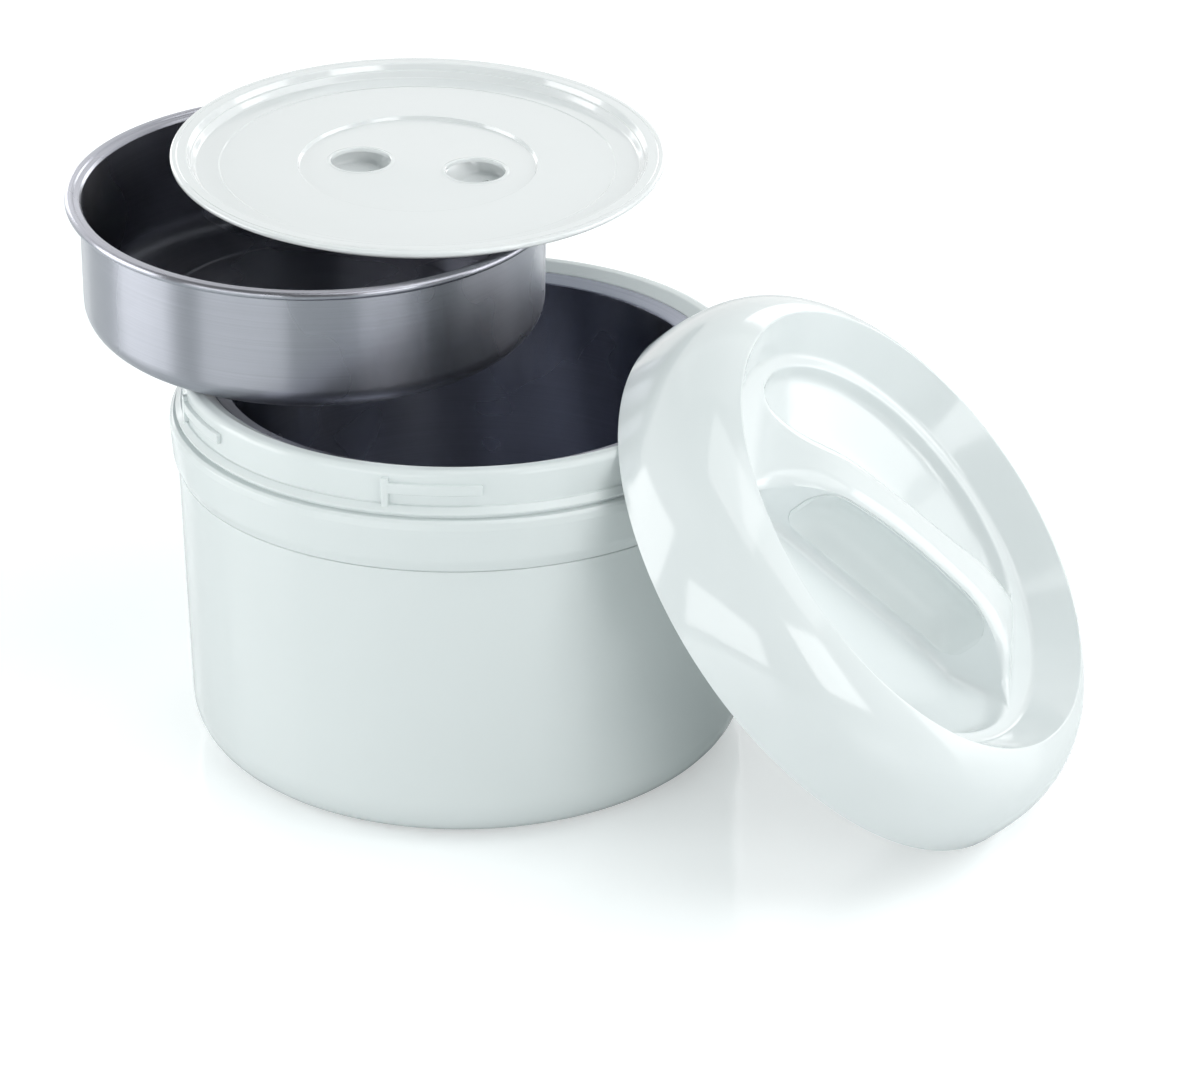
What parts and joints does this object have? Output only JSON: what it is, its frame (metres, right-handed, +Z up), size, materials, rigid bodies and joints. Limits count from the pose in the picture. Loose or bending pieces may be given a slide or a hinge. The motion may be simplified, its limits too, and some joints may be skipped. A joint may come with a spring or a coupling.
{
  "type": "yogurt maker",
  "caption": "Insulated round yogurt maker, shown open: double-walled pot with a steel tank, steel bowl, inner lid with finger holes, and a bulging twist-on lid with a grip bar.",
  "frame": {"origin": "centre of the pot's underside, on the surface it stands on", "axes": "+Z up along the pot's axis; -Y towards the front of the arrangement; +X towards the side on which the outer lid leans"},
  "size_m": [0.366, 0.3039, 0.2103],
  "materials": {
    "white_plastic": "glossy moulded",
    "lid_plastic": "high gloss",
    "lining_plastic": "satin",
    "insert_plastic": "high gloss",
    "steel": "brushed",
    "seal": "matte",
    "foam": "matte"
  },
  "bodies": {
    "pot": {"outer_shell": "white_plastic", "non_slip_pad": "seal", "shoulder_collar": "white_plastic", "collar_seal": "seal", "neck_ring": "white_plastic", "liner_tank": "steel", "liner_gasket": "seal", "wall_insulation": "foam", "floor_insulation": "foam"},
    "bowl": {"bowl": "steel"},
    "inner_lid": {"inner_lid_plate": "white_plastic", "finger_cup_left": "white_plastic", "finger_cup_right": "white_plastic"},
    "lid_seal": {"lid_gasket": "seal"},
    "lid": {"lid_shell": "lid_plastic", "lid_lining": "lining_plastic", "lid_foam": "foam", "grip_core": "foam", "grip_insert_front": "insert_plastic", "grip_insert_back": "insert_plastic"}
  },
  "joints": [
    {"name": "bowl_lift", "type": "slide", "parent": "pot", "child": "bowl", "axis": [0, 0, 1], "range_m": [0, 0.15]},
    {"name": "inner_lid_lift", "type": "slide", "parent": "bowl", "child": "inner_lid", "axis": [0, 0, 1], "range_m": [0, 0.1]},
    {"name": "lid_lift", "type": "slide", "parent": "pot", "child": "lid_seal", "axis": [0.6837, -0.3044, 0.6633], "range_m": [0, 0.15]},
    {"name": "lid_twist", "type": "hinge", "parent": "lid_seal", "child": "lid", "pos_m": [0.15743, -0.06845, 0.10633], "axis": [0.6837, -0.3044, 0.6633], "range_deg": [0, 15]}
  ]
}
